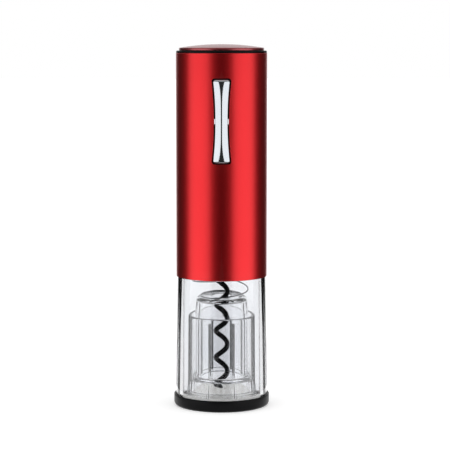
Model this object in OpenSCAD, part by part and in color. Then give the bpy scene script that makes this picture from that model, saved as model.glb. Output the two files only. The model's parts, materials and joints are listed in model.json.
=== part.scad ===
// Cordless electric wine opener. Millimetres, +Z up. The origin is the centre of the base's underside,
// and the switch faces -Y.

/* [Body] */
// Outside diameter of the metal sleeve
body_d = 50; // [49:0.5:62]
// Thickness of the sleeve's metal
sleeve_wall = 1; // [0.8:0.1:1.2]
// Height of the clear part between the base ring and the sleeve
chamber_h = 65.75; // [60:0.25:80]
// How far the base ring stands out past the sleeve, on the radius
base_flare = 1.45; // [0.5:0.05:3]
// Height of the base ring
base_h = 6.4; // [5:0.1:8]

/* [Bottle end] */
// Bore that takes the bottle's neck
neck_bore_d = 30.8; // [30:0.1:32]
// Wall of the clear chamber at its lip
chamber_wall = 2.7; // [2:0.1:3]
// Length of the chamber's spigot inside the sleeve
spigot_h = 11.85; // [8:0.05:14]
// Height of the inner guide's rim above the base ring
guide_h = 43.6; // [40:0.1:50]
// Wall of the inner guide
guide_wall = 1.85; // [1.5:0.05:2.5]
// Gap between the inner guide and the tube of the floating cork sleeve
cork_gap = 2.05; // [1:0.05:3]
// Wall of the cork sleeve
cork_tube_wall = 2.65; // [2:0.05:3]
// Height of the cork sleeve, collar included
cork_tube_h = 45.35; // [43:0.05:47]
// Height of the cork sleeve's lower end above the base ring
cork_tube_up = 8; // [6:0.1:12]
// Height of the collar on top of the cork sleeve
collar_h = 7.55; // [5:0.05:9]
// Diameter of the hole that the worm passes
worm_hole_d = 10.6; // [10.4:0.1:12]

/* [Worm] */
// Outside diameter of the worm's helix
worm_d = 9.2; // [8:0.1:9.6]
// Thickness of the worm's wire at its thickest
worm_wire_d = 2.75; // [2.2:0.05:3]
// Rise of the worm in one turn
worm_pitch = 14.7; // [12:0.1:16]
// Height of the worm's tip above the base ring
worm_tip_up = 2.3; // [1.5:0.1:6]

/* [Gearbox] */
// Gear module, the pitch diameter for each tooth
gear_m = 0.6; // [0.55:0.01:0.6]
// Teeth on each sun gear
sun_teeth = 9; // [9:1:9]
// Teeth on each planet gear
planet_teeth = 18; // [18:1:18]
// Face width of the second stage's gears
gear_w2 = 5; // [3:0.5:6]
// Face width of the first stage's gears
gear_w1 = 4; // [3:0.5:5]

/* [Motor] */
// Diameter of the motor can
motor_d = 27.7; // [24:0.1:28]
// Length of the motor can
motor_len = 26.5; // [24:0.5:36]

/* [Batteries] */
// Diameter of one AA cell
cell_d = 14.5; // [14:0.1:14.6]
// Length of one AA cell with its contact nub
cell_len = 50.5; // [49:0.1:51]

/* [Switch] */
// Height of the rocker
rocker_h = 44.9; // [36:0.1:46]
// Width of the rocker at its two ends
rocker_end_w = 9.3; // [8:0.1:10]
// Width of the rocker at its waist
rocker_waist_w = 7.1; // [6:0.1:7.6]
// Tilt of the rocker each way, in degrees
rocker_tilt = 3.5; // [2:0.1:3.5]
// Height of the rocker's pivot above the underside of the battery tray
rocker_up = 21.55; // [19.15:0.05:23.15]

/* [Cap] */
// Diameter of the domed cap plate
cap_d = 46.7; // [44:0.1:47]
// Height of the cap plate at its rim
cap_rim_h = 1.6; // [1:0.1:2]
// Rise of the cap plate's dome above its rim
dome_h = 1.9; // [1:0.1:3]
// Height of the black ring that shows between the sleeve and the cap
top_flange_h = 1.3; // [1:0.1:2]
// Rise of the cap's quick thread in one whole turn
thread_lead = 8; // [6:0.5:8]

/* [Hidden] */
$fn = 96;
eps = 0.01;

// Clearances
fit_gap = 0.05;      // radial gap round a part that is glued or pressed in
run_gap = 0.05;      // radial gap of a running bore
slide_gap = 0.25;    // radial gap of a part that slides off
end_gap = 0.3;       // gap between the ends of moving parts

// Body radii
body_r = body_d / 2;
sleeve_ir = body_r - sleeve_wall;
inner_r = sleeve_ir - fit_gap;
base_r = body_r + base_flare;

// Bottle end
seat_z = base_h + chamber_h;
spigot_top = seat_z + spigot_h;
lip_r = body_r - 0.7;
foot_r = body_r + 0.3;
spigot_r = sleeve_ir - slide_gap;
chamber_ir = lip_r - chamber_wall;
floor_t = 2;
floor_top = base_h;
base_lip_t = 1.2;
neck_r = neck_bore_d / 2;
neck_lead = 0.8;
collar_wall = 1.6;
collar_up = 2;
neck_collar_r = neck_r + collar_wall;
guide_low_ir = neck_r + 0.2;
guide_room = 1.4;
guide_ir = neck_r + guide_room;
guide_or = guide_ir + guide_wall;
guide_top = base_h + guide_h;
guide_foot_out = 0.6;
guide_foot_r = guide_or + guide_foot_out;
ledge_z = base_h + cork_tube_up;
cork_z = ledge_z + run_gap;
cork_r = guide_ir - cork_gap;
cork_ir = cork_r - cork_tube_wall;
cork_top = cork_z + cork_tube_h;
cork_flange_r = guide_ir - slide_gap;
collar_z = cork_top - collar_h;
lug_r = chamber_ir - 0.2;
lug_len = 2;
lug_w = 4;
lug_top = floor_top + 1.2;
key_w = 4;
key_h = 3;

// Drive stack, from the bulkhead up
bulkhead_z = spigot_top + end_gap;
bulkhead_t = 3;
gearbox_z = bulkhead_z + bulkhead_t;
output_plate_t = 2;
washer_t = 0.25;
out_carrier_z = gearbox_z + output_plate_t + washer_t + run_gap;
out_carrier_t = 2;
planet2_z = out_carrier_z + out_carrier_t + 0.2;
carrier1_z = planet2_z + gear_w2 + end_gap;
carrier1_t = 1.6;
planet1_z = carrier1_z + carrier1_t + 0.2;
motor_plate_z = planet1_z + gear_w1 + 0.4;
motor_plate_t = 1.5;
motor_z = motor_plate_z + motor_plate_t;
motor_top = motor_z + motor_len;
end_bell_t = 2.5;
terminal_h = 2.2;
terminal_top = motor_top + end_bell_t + terminal_h;
motor_r = motor_d / 2;

// Gears
press_a = 25;
tooth_add = 0.85 * gear_m;
tooth_ded = 1.1 * gear_m;
tooth_thin = 0.05;
flank_steps = 3;
ring_teeth = sun_teeth + 2 * planet_teeth;
gear_centre = gear_m * (sun_teeth + planet_teeth) / 2;
ring_pitch_r = gear_m * ring_teeth / 2;
gearbox_r = ring_pitch_r + tooth_ded + 2.34;
carrier_r = ring_pitch_r - tooth_add - 0.4;
planet_pin_r = 1.2;
motor_shaft_r = 1;
output_shaft_r = 3;
ear_r = 2.4;
ear_at = gearbox_r + 1.9;
ear_screw_r = 1;
motor_screw_at = 8;

// Worm and chuck
worm_wire_r = worm_wire_d / 2;
worm_helix_r = (worm_d - worm_wire_d) / 2;
worm_tip_z = base_h + worm_tip_up;
tip_sweep = 105;
tip_rise = 2.2;
run_in = 90;
chuck_r = 4.7;
chuck_h = 7.2;
chuck_top = bulkhead_z - 1.1;
chuck_z = chuck_top - chuck_h;
chuck_mid = chuck_z + chuck_h / 2;
chuck_screw_z = chuck_mid + 1.8;
shank_r = 2;
worm_end_z = chuck_z + 1.05;

// Cork sleeve spring
spring_wire_r = 0.35;
spring_in = 3.15;
spring_low_r = cork_r - spring_in;
spring_top_r = min(19, chamber_ir - 2);

// Battery bay
tray_z = terminal_top + 1;
tray_floor_t = 1.5;
contact_t = 0.4;
contact_low_z = tray_z + tray_floor_t + contact_t;
cell_spring_h = 2;
contact_top_z = contact_low_z + cell_len + cell_spring_h;
cell_at = cell_d / 2 + 0.35;
cell_nub_h = 1;
tray_half = cell_at + cell_d / 2 + 0.45;
tray_wall = 0.8;
tray_corner = cell_d / 2 + 0.35;
tray_top = contact_top_z - 6.4;
tray_floor_r = inner_r - 1.75;
post_r = 3.2;
key_hole = 2.9;
key_peg = 2.5;

// Cap end
cap_depth = 3.7;
sleeve_top = contact_top_z + cap_depth;
flange_top = sleeve_top + top_flange_h;
ring_low = tray_top + 1;
ring_wall = 2.5;
plug_room = 0.85;
cap_rim_w = 1.4;
cap_r = cap_d / 2;
ring_ir = min(inner_r - ring_wall, cap_r - cap_rim_w + plug_room);
thread_starts = 4;
thread_span = 70;
thread_high = 0.65;
thread_half = 0.37;
thread_z = sleeve_top - 5.5;
plug_r = ring_ir - plug_room;
plug_wall = 1.55;
plug_low = tray_top + 2;
plug_top = flange_top + 1;
carrier_disc_t = 1.6;
carrier_disc_z = contact_top_z + contact_t;
carrier_disc_r = plug_r - plug_wall - 0.4;
web_z = carrier_disc_z + carrier_disc_t + end_gap;
web_t = 1.5;
rivet_r = 1.5;
cap_z = flange_top + run_gap;

// Chassis
chassis_r = inner_r - 0.25;
chassis_wall = 1.3;
chassis_top = ring_low - 0.2;
ledge_t = 1.5;
boss_r = 2.3;
boss_at = motor_r + 3.65;
boss_len = 9;
chassis_screw_r = 1;

// Switch
rocker_z = tray_z + rocker_up;
rocker_gap = 0.6;
bezel_gap = 0.35;
rocker_corner = 1.6;
rocker_front = body_r + 1.2;
rocker_crown_r = 6;
rocker_back = body_r - 3.4;
pivot_y = body_r - 2.7;
pivot_pin_r = 0.7;
pivot_boss_r = 1.6;
post_up = 15;
post_tip = rocker_back - 0.65;
bezel_thick = 2.5;
bezel_half_w = 8;
bezel_margin = 4.6;
bezel_back = sqrt(pow(inner_r - bezel_thick, 2) - pow(bezel_half_w, 2));
ear_half_w = rocker_waist_w / 2 + 0.45;
ear_half_h = 1.4;
ear_front = body_r - 0.5;
board_y = body_r - 7.4;
board_t = 1;
board_half_w = 5;
switch_depth = 2;
dome_r = 1.5;
dome_y = post_tip - post_up * sin(rocker_tilt) - 0.05;
window_half_w = bezel_half_w + 0.15;
window_low = rocker_z - rocker_h / 2 - 5.1;

// ---------- shared shapes ----------

function unit(v) = v / norm(v);

// Direction of a path at its point i
function heading(path, i) = unit(path[min(i + 1, len(path) - 1)] - path[max(i - 1, 0)]);

// A round section of radius r across a path
function round_ring(at, dir, r, ref, sides) =
    let (u = unit(cross(dir, ref)), v = cross(dir, u))
    [for (k = [0:sides - 1]) at + r * (cos(360 * k / sides) * u + sin(360 * k / sides) * v)];

// A closed solid through rings that each hold the same number of points
module skin(rings) {
    n = len(rings[0]);
    last = (len(rings) - 1) * n;
    start_cap = [[for (k = [0:n - 1]) k]];
    end_cap = [[for (k = [n - 1:-1:0]) last + k]];
    sides = [
        for (i = [0:len(rings) - 2])
            for (k = [0:n - 1])
                let (a = i * n + k, b = i * n + (k + 1) % n)
                each [[a, a + n, b + n], [a, b + n, b]]
    ];
    polyhedron(points = [for (r = rings) each r], faces = concat(start_cap, end_cap, sides), convexity = 10);
}

module tube(path, radii, ref = [0, 0, 1], sides = 8) {
    skin([for (i = [0:len(path) - 1]) round_ring(path[i], heading(path, i), radii[i], ref, sides)]);
}

// A smooth curve through a list of points, with steps between each two
function catmull(p0, p1, p2, p3, t) =
    0.5 * (2 * p1 + (p2 - p0) * t + (2 * p0 - 5 * p1 + 4 * p2 - p3) * t * t
        + (3 * p1 - p0 - 3 * p2 + p3) * t * t * t);
function smooth_path(p, steps) =
    concat([
        for (i = [0:len(p) - 2])
            for (s = [0:steps - 1])
                catmull(p[max(i - 1, 0)], p[i], p[i + 1], p[min(i + 2, len(p) - 1)], s / steps)
    ], [p[len(p) - 1]]);

module ring(r_out, r_in, z, h) {
    translate([0, 0, z])
        difference() {
            cylinder(r = r_out, h = h);
            translate([0, 0, -1]) cylinder(r = r_in, h = h + 2);
        }
}

module disc(r, z, h) {
    translate([0, 0, z]) cylinder(r = r, h = h);
}

// A square with round corners, centred
module round_square(half, corner) {
    square([2 * half, 2 * (half - corner)], center = true);
    square([2 * (half - corner), 2 * half], center = true);
    for (x = [-1, 1], y = [-1, 1])
        translate([x * (half - corner), y * (half - corner)]) circle(r = corner);
}

// Points of a quarter round, from angle a0 to a1
function arc(cx, cy, r, a0, a1, steps) =
    [for (i = [0:steps]) let (a = a0 + (a1 - a0) * i / steps) [cx + r * cos(a), cy + r * sin(a)]];

// A closed coil spring along Z, cone or cylinder, with flat end turns
module coil_spring(r_low, r_high, z_low, z_high, turns, wire_r, bulge = 1, start = 180) {
    flat_turns = 0.75;
    steps = 20;
    count = ceil((turns + 2 * flat_turns) * steps);
    path = [
        for (i = [0:count])
            let (
                turn = i / steps,
                t = min(1, max(0, (turn - flat_turns) / turns)),
                r = r_low + (r_high - r_low) * pow(t, bulge),
                a = start + 360 * (turn - flat_turns)
            )
            [r * cos(a), r * sin(a), z_low + wire_r + (z_high - z_low - 2 * wire_r) * t]
    ];
    tube(path, [for (p = path) wire_r], sides = 6);
}

// ---------- gears ----------

function involute_deg(base_r, r) =
    r <= base_r ? 0 : let (t = sqrt(r * r / (base_r * base_r) - 1)) t * 180 / PI - atan(t);

// Half the width of a tooth at radius r, as an angle
function tooth_half(teeth, r, thin) =
    let (pitch_r = gear_m * teeth / 2, base_r = pitch_r * cos(press_a))
    90 / teeth - thin * 90 / (PI * pitch_r) + involute_deg(base_r, pitch_r) - involute_deg(base_r, r);

function gear_outline(teeth, r_in, r_out, thin, first) = [
    for (i = [0:teeth - 1])
        let (mid = first + 360 * i / teeth)
        each [
            for (side = [-1, 1], j = [0:flank_steps])
                let (
                    step = side < 0 ? j : flank_steps - j,
                    r = r_in + (r_out - r_in) * step / flank_steps,
                    a = mid + side * tooth_half(teeth, r, thin)
                )
                r * [cos(a), sin(a)]
        ]
];

module spur_gear(teeth, w, first) {
    pitch_r = gear_m * teeth / 2;
    linear_extrude(w)
        polygon(gear_outline(teeth, pitch_r - tooth_ded, pitch_r + tooth_add, tooth_thin, first));
}

module sun_gear(z, w) {
    translate([0, 0, z]) spur_gear(sun_teeth, w, 0);
}

module planet_gear(index, z, w) {
    rotate([0, 0, 120 * index])
        translate([gear_centre, 0, z])
            difference() {
                spur_gear(planet_teeth, w, 180 / planet_teeth);
                translate([0, 0, -1]) cylinder(r = planet_pin_r + run_gap, h = w + 2);
            }
}

module at_planets() {
    for (i = [0:2]) rotate([0, 0, 120 * i]) translate([gear_centre, 0, 0]) children();
}

module at_ears() {
    for (i = [0:3]) rotate([0, 0, 45 + 90 * i]) translate([ear_at, 0, 0]) children();
}

// A gearbox plate with its four screw ears; the plates clamp the ring gear between them
module gearbox_slab(z, h) {
    difference() {
        union() {
            disc(gearbox_r, z, h);
            at_ears() disc(ear_r, z, h);
        }
        at_ears() disc(ear_screw_r, z - 1, h + 2);
    }
}

module pan_screw(r, length, head_r, head_h) {
    translate([0, 0, -length]) cylinder(r = r, h = length);
    difference() {
        cylinder(r = head_r, h = head_h);
        for (a = [0, 90])
            rotate([0, 0, a]) translate([-head_r * 0.6, -0.2, head_h * 0.5]) cube([head_r * 1.2, 0.4, head_h]);
    }
}

// ---------- bottle end ----------

module at_lugs() {
    for (side = [0, 180]) rotate([0, 0, side]) translate([lug_r - lug_len, 0, 0]) children();
}

module base_ring() color([0.06, 0.06, 0.065]) {
    edge = 2;
    rotate_extrude()
        polygon(concat(
            [[lug_r - lug_len - 0.5, 0]],
            arc(base_r - edge, edge, edge, -90, 0, 6),
            [[base_r, base_h - 0.4], [base_r - 0.4, base_h], [foot_r + fit_gap, base_h]],
            [[foot_r + fit_gap, base_lip_t], [lug_r - lug_len - 0.5, base_lip_t]]
        ));
    at_lugs() translate([0, -lug_w / 2, base_lip_t / 2]) cube([lug_len, lug_w, lug_top - base_lip_t / 2]);
}

module clear_chamber() color([0.85, 0.9, 0.92, 0.35]) {
    lead = 0.6;
    difference() {
        rotate_extrude()
            polygon([
                [neck_r + neck_lead, neck_lead / 2], [neck_collar_r, neck_lead / 2],
                [neck_collar_r, floor_top - floor_t], [chamber_ir, floor_top - floor_t],
                [chamber_ir, base_lip_t], [foot_r, base_lip_t], [foot_r, base_h], [lip_r, seat_z],
                [spigot_r, seat_z], [spigot_r, spigot_top - lead], [spigot_r - lead, spigot_top],
                [chamber_ir, spigot_top], [chamber_ir, floor_top], [neck_collar_r, floor_top],
                [neck_collar_r, floor_top + collar_up], [neck_r, floor_top + collar_up],
                [neck_r, neck_lead * 1.5]
            ]);
        at_lugs()
            translate([-fit_gap, -lug_w / 2 - fit_gap, base_h - floor_t - 1])
                cube([lug_len + 2 * fit_gap, lug_w + 2 * fit_gap, floor_t + 2]);
        for (side = [0, 180])
            rotate([0, 0, side])
                translate([chamber_ir - 1, -key_w / 2 - slide_gap, spigot_top - key_h - end_gap])
                    cube([body_r, key_w + 2 * slide_gap, key_h + 2]);
    }
}

module neck_guide() color([0.85, 0.9, 0.92, 0.35]) {
    foot_t = 1.2;
    fin_t = 1.2;
    fin_h = 8;
    rotate_extrude()
        polygon([
            [neck_collar_r + fit_gap, floor_top], [guide_foot_r, floor_top], [guide_foot_r, floor_top + foot_t],
            [guide_or, floor_top + foot_t], [guide_or, guide_top - 0.5], [guide_or - 0.5, guide_top],
            [guide_ir, guide_top], [guide_ir, ledge_z], [guide_low_ir, ledge_z],
            [guide_low_ir, floor_top + collar_up + fit_gap],
            [neck_collar_r + fit_gap, floor_top + collar_up + fit_gap]
        ]);
    for (i = [0:7])
        rotate([0, 0, 22.5 + 45 * i])
            translate([0, fin_t / 2, floor_top])
                rotate([90, 0, 0])
                    linear_extrude(fin_t)
                        polygon([
                            [guide_or - 0.3, 0], [chamber_ir - 0.3, 0],
                            [chamber_ir - 0.3, foot_t], [guide_or - 0.3, fin_h]
                        ]);
}

module cork_sleeve() color([0.85, 0.9, 0.92, 0.35]) {
    flange_t = 1.95;
    rib_t = 1;
    rib_in = 1;
    shoulder = 1.5;
    collar_top_r = cork_r - 0.85;
    roof_t = 2.25;
    rotate_extrude()
        polygon(concat(
            [[cork_ir, cork_z], [cork_flange_r, cork_z], [cork_flange_r, cork_z + flange_t]],
            [[cork_r, cork_z + flange_t], [cork_r, collar_z]],
            arc(collar_top_r - shoulder, cork_top - shoulder, shoulder, 0, 90, 5),
            [[worm_hole_d / 2, cork_top], [worm_hole_d / 2, cork_top - roof_t]],
            [[cork_ir - 1, cork_top - roof_t], [cork_ir, cork_top - roof_t - 1]]
        ));
    for (i = [0:5])
        rotate([0, 0, 60 * i])
            translate([cork_ir - rib_in, -rib_t / 2, cork_z + flange_t])
                cube([rib_in + 0.4, rib_t, collar_z - 6 - cork_z - flange_t]);
}

module return_spring() color([0.75, 0.75, 0.77])
    coil_spring(spring_low_r, spring_top_r, cork_top + 0.02, bulkhead_z - 0.02, 2.4, spring_wire_r, 0.42, 236);

// ---------- sleeve, bulkhead and chassis ----------

// Outline of the rocker, grown by grow all round: a waisted bar with round corners
function rocker_outline(grow) =
    let (
        steps = 8,
        half_h = rocker_h / 2 + grow,
        end_w = rocker_end_w / 2 + grow,
        waist_w = rocker_waist_w / 2 + grow,
        straight = half_h - rocker_corner,
        side = [
            for (i = [-steps:steps - 1])
                let (t = i / steps) [waist_w + (end_w - waist_w) * pow(abs(t), 2), straight * t]
        ],
        corner = arc(end_w - rocker_corner, straight, rocker_corner, 0, 90, 4),
        right = concat(side, corner),
        top = [for (p = corner) [-p[0], p[1]]],
        left = [for (i = [len(side) - 1:-1:0]) [-side[i][0], side[i][1]]],
        low_left = [for (p = corner) [-p[0], -p[1]]],
        low_right = [for (i = [len(corner) - 1:-1:1]) [corner[i][0], -corner[i][1]]]
    )
    concat(right, [for (i = [len(top) - 1:-1:0]) top[i]], left, [for (i = [1:len(low_left) - 1]) low_left[i]],
        low_right);

// The rocker's outline as a bar from radius y_in out to y_out, on the -Y side
module rocker_bar(grow, y_in, y_out) {
    translate([0, -y_in, rocker_z])
        rotate([90, 0, 0]) linear_extrude(y_out - y_in) polygon(rocker_outline(grow));
}

module outer_sleeve() color([0.62, 0.03, 0.05])
    difference() {
        ring(body_r, sleeve_ir, seat_z, sleeve_top - seat_z);
        rocker_bar(rocker_gap, body_r / 2, body_r + 2);
    }

module bulkhead() color([0.1, 0.1, 0.11]) {
    difference() {
        disc(inner_r, bulkhead_z, bulkhead_t);
        disc(output_shaft_r + 1.6, bulkhead_z - 1, bulkhead_t + 2);
        at_ears() disc(ear_screw_r - 0.1, bulkhead_z + 0.6, bulkhead_t);
    }
    for (side = [0, 180])
        rotate([0, 0, side])
            translate([chamber_ir + 0.1, -key_w / 2, bulkhead_z - key_h])
                cube([spigot_r - chamber_ir - 0.4, key_w, key_h + 0.5]);
}

module chassis_shell() {
    difference() {
        union() {
            ring(chassis_r, chassis_r - chassis_wall, gearbox_z, chassis_top - gearbox_z);
            for (z = [motor_z + 3, motor_top - 5.3])
                ring(chassis_r - 0.5, motor_r + 0.15, z, ledge_t);
            ring(chassis_r - 0.5, chassis_r - 4.7, tray_z - ledge_t, ledge_t);
            for (side = [-1, 1], z = chassis_screw_heights())
                translate([side * boss_at, boss_len, z])
                    rotate([90, 0, 0]) cylinder(r = boss_r, h = 2 * boss_len);
            for (side = [-1, 1], z = chassis_screw_heights())
                translate([side * (boss_at + chassis_r) / 2, 0, z])
                    cube([chassis_r - boss_at - 1, 5, 2], center = true);
        }
        for (side = [-1, 1], z = chassis_screw_heights())
            translate([side * boss_at, boss_len + 1, z])
                rotate([90, 0, 0]) cylinder(r = chassis_screw_r, h = 2 * boss_len + 2);
        translate([-window_half_w, -body_r, window_low])
            cube([2 * window_half_w, body_r - board_y + 0.9, chassis_top]);
    }
}

function chassis_screw_heights() = [motor_z + 8, motor_top - 9];

module chassis_front() color([0.14, 0.14, 0.15])
    intersection() {
        chassis_shell();
        translate([-body_r, -body_r - 0.02, gearbox_z - 1]) cube([body_d, body_r, chassis_top]);
    }

module chassis_rear() color([0.14, 0.14, 0.15])
    intersection() {
        chassis_shell();
        translate([-body_r, 0.02, gearbox_z - 1]) cube([body_d, body_r, chassis_top]);
    }

module chassis_screws() color([0.7, 0.7, 0.72])
    for (side = [-1, 1], z = chassis_screw_heights())
        translate([side * boss_at, -boss_len, z])
            rotate([90, 0, 0]) pan_screw(chassis_screw_r, 2 * boss_len - 2, 1.8, 1.1);

// ---------- gearbox ----------

module output_plate() color([0.2, 0.2, 0.22])
    difference() {
        gearbox_slab(gearbox_z, output_plate_t);
        disc(output_shaft_r + 1.5, gearbox_z - 1, output_plate_t + 2);
    }

module output_bush() color([0.72, 0.5, 0.25])
    ring(output_shaft_r + 1.5, output_shaft_r + run_gap, bulkhead_z + 0.4, bulkhead_t + output_plate_t - 0.4);

module thrust_washer() color([0.7, 0.7, 0.72])
    ring(5.5, output_shaft_r + 0.1, gearbox_z + output_plate_t, washer_t);

module ring_gear() color([0.2, 0.2, 0.22])
    difference() {
        disc(gearbox_r, gearbox_z + output_plate_t, motor_plate_z - gearbox_z - output_plate_t);
        translate([0, 0, gearbox_z])
            linear_extrude(motor_z - gearbox_z)
                polygon(gear_outline(ring_teeth, ring_pitch_r - tooth_add, ring_pitch_r + tooth_ded,
                    -tooth_thin, 180 / ring_teeth));
    }

module motor_plate() color([0.7, 0.7, 0.72])
    difference() {
        gearbox_slab(motor_plate_z, motor_plate_t);
        disc(4.2, motor_plate_z - 1, motor_plate_t + 2);
        for (side = [-1, 1])
            translate([side * motor_screw_at, 0, motor_plate_z]) {
                translate([0, 0, -1]) cylinder(r = 1.3, h = motor_plate_t + 2);
                translate([0, 0, -eps]) cylinder(r1 = 2.3, r2 = 1.3, h = 1 + eps);
            }
    }

module gearbox_screws() color([0.7, 0.7, 0.72]) {
    at_ears()
        translate([0, 0, motor_z])
            pan_screw(ear_screw_r - 0.1, motor_z - bulkhead_z - 0.8, 1.9, 1.2);
}

// A carrier disc with the holes for its three pins
module carrier_disc(z, t) {
    difference() {
        disc(carrier_r, z, t);
        at_planets() disc(planet_pin_r, z - 1, t + 2);
    }
}

module carrier_pins(z, length) {
    at_planets() disc(planet_pin_r, z, length);
}

module output_carrier() color([0.55, 0.55, 0.57])
    difference() {
        carrier_disc(out_carrier_z, out_carrier_t);
        disc(output_shaft_r, out_carrier_z - 1, out_carrier_t + 2);
    }

module output_carrier_pins() color([0.7, 0.7, 0.72])
    carrier_pins(out_carrier_z, out_carrier_t + gear_w2 + 0.35);

module output_shaft() color([0.7, 0.7, 0.72])
    disc(output_shaft_r, chuck_mid, out_carrier_z + out_carrier_t - chuck_mid);

module planet_2a() color([0.85, 0.83, 0.78]) planet_gear(0, planet2_z, gear_w2);
module planet_2b() color([0.85, 0.83, 0.78]) planet_gear(1, planet2_z, gear_w2);
module planet_2c() color([0.85, 0.83, 0.78]) planet_gear(2, planet2_z, gear_w2);

module carrier_1() color([0.85, 0.83, 0.78]) {
    carrier_disc(carrier1_z, carrier1_t);
    sun_gear(planet2_z + 0.1, carrier1_z - planet2_z);
}

module carrier_1_pins() color([0.7, 0.7, 0.72]) carrier_pins(carrier1_z, carrier1_t + gear_w1 + 0.35);

module planet_1a() color([0.85, 0.83, 0.78]) planet_gear(0, planet1_z, gear_w1);
module planet_1b() color([0.85, 0.83, 0.78]) planet_gear(1, planet1_z, gear_w1);
module planet_1c() color([0.85, 0.83, 0.78]) planet_gear(2, planet1_z, gear_w1);

// ---------- motor ----------

module motor_pinion() color([0.8, 0.68, 0.4])
    difference() {
        sun_gear(planet1_z + 0.1, gear_w1);
        disc(motor_shaft_r, planet1_z - 1, gear_w1 + 2);
    }

module motor_shaft() color([0.7, 0.7, 0.72])
    disc(motor_shaft_r, planet1_z + 0.1, motor_top + end_bell_t + 1 - planet1_z);

module motor_can() color([0.65, 0.66, 0.68])
    difference() {
        union() {
            disc(motor_r, motor_z + 0.8, motor_len - 0.8);
            disc(motor_r - 0.8, motor_z, 1);
            disc(4, motor_z - 1.2, 1.4);
        }
        disc(motor_r - 1, motor_z + 1.2, motor_len);
        disc(motor_shaft_r + run_gap, motor_z - 2, 4);
        for (side = [-1, 1])
            translate([side * motor_screw_at, 0, motor_z - 1]) cylinder(r = 1.2, h = 3);
    }

module motor_end_bell() color([0.9, 0.9, 0.88])
    difference() {
        union() {
            disc(motor_r - 0.3, motor_top, end_bell_t - 0.5);
            disc(motor_r - 1 - fit_gap, motor_top - 2, 2.2);
            disc(4.5, motor_top, end_bell_t);
        }
        disc(motor_shaft_r + run_gap, motor_top - 3, end_bell_t + 4);
        for (side = [-1, 1])
            translate([side * 8 - 1.5, -0.3, motor_top - 3]) cube([3, 0.6, end_bell_t + 4]);
    }

module motor_terminals() color([0.8, 0.68, 0.4])
    for (side = [-1, 1])
        translate([side * 8 - 1.5, -0.3, motor_top - 2]) cube([3, 0.6, terminal_top - motor_top + 2]);

module motor_screws() color([0.7, 0.7, 0.72])
    for (side = [-1, 1])
        translate([side * motor_screw_at, 0, motor_plate_z]) {
            cylinder(r1 = 2.2, r2 = 1.2, h = 1);
            cylinder(r = 1.2, h = motor_plate_t + 2.5);
        }

// One lead from a motor terminal, through the tray's notch and up to the switch board
module motor_lead(side) {
    wire_r = 0.6;
    beside_switch = 4.2;
    before_board = 1.6;
    low = motor_top + end_bell_t + wire_r + 0.1;
    route = [
        [side * 8, -0.3 - wire_r, low + 0.2],
        [side * 7.6, -4, low],
        [side * 6, -10, low],
        [side * 3.4, -16.5, low + 0.2],
        [side * beside_switch, -board_y - before_board, low + 1.4],
        [side * beside_switch, -board_y - before_board, tray_z + 2],
        [side * beside_switch, -board_y - before_board + 0.3, tray_z + 4.6],
        [side * beside_switch, -board_y, tray_z + 5]
    ];
    path = smooth_path(route, 3);
    tube(path, [for (p = path) wire_r], [1, 0, 0]);
}

module motor_leads() color([0.7, 0.08, 0.06]) {
    motor_lead(-1);
    motor_lead(1);
}

// ---------- batteries ----------

module at_cells() {
    for (x = [-1, 1], y = [-1, 1]) translate([x * cell_at, y * cell_at, 0]) children();
}

// Two cells stand nub down, so that all four run in series
function nub_up(x, y) = x * y > 0;

module battery_tray() color([0.14, 0.14, 0.15])
    difference() {
        union() {
            disc(tray_floor_r, tray_z, tray_floor_t);
            translate([0, 0, tray_z])
                linear_extrude(tray_top - tray_z)
                    difference() {
                        round_square(tray_half + tray_wall, tray_corner + tray_wall);
                        round_square(tray_half, tray_corner);
                    }
            disc(post_r, tray_z, tray_top - tray_z);
        }
        translate([-key_hole / 2, -key_hole / 2, tray_z + 5]) cube([key_hole, key_hole, tray_top]);
        translate([-5.6, -body_r, tray_z - 1]) cube([11.2, body_r - board_y - 0.7, 5]);
        translate([-bezel_half_w - slide_gap, -body_r, tray_z - 1])
            cube([2 * (bezel_half_w + slide_gap), body_r - bezel_back + slide_gap, 5]);
        for (side = [-1, 1])
            translate([side * 4 - 1.1, -tray_half - 2, tray_z + tray_floor_t - eps])
                cube([2.2, 3, contact_t + 0.1]);
    }

module battery_contacts() color([0.8, 0.8, 0.8]) {
    pad = 5;
    tail_end = board_y - board_t - 0.1;
    z = tray_z + tray_floor_t;
    for (side = [-1, 1]) {
        translate([side * cell_at - pad, -cell_at - pad, z]) cube([2 * pad, 2 * pad, contact_t]);
        translate([side * 4 - 0.9, -tail_end, z]) cube([1.8, tail_end - tray_half + 2.8, contact_t]);
    }
    difference() {
        translate([-cell_at - pad, cell_at - pad, z]) cube([2 * (cell_at + pad), 2 * pad, contact_t]);
        disc(post_r + 0.1, z - 1, 3);
    }
}

module battery_springs() color([0.8, 0.8, 0.8])
    for (x = [-1, 1], y = [-1, 1])
        if (nub_up(x, y))
            translate([x * cell_at, y * cell_at, 0])
                coil_spring(4.4, 2.2, contact_low_z, contact_low_z + cell_spring_h, 1.2, 0.35);

module aa_cell() {
    body_len = cell_len - cell_nub_h;
    bevel = 0.5;
    rotate_extrude()
        polygon([
            [0, 0], [cell_d / 2 - bevel, 0], [cell_d / 2, bevel], [cell_d / 2, body_len - bevel],
            [cell_d / 2 - bevel, body_len], [2.75, body_len], [2.75, cell_len], [0, cell_len]
        ]);
}

module battery_cells() color([0.25, 0.45, 0.3])
    for (x = [-1, 1], y = [-1, 1])
        translate([x * cell_at, y * cell_at, nub_up(x, y) ? contact_low_z + cell_spring_h : contact_low_z])
            if (nub_up(x, y)) aa_cell();
            else translate([0, 0, cell_len]) rotate([180, 0, 0]) aa_cell();

// ---------- switch ----------

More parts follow.
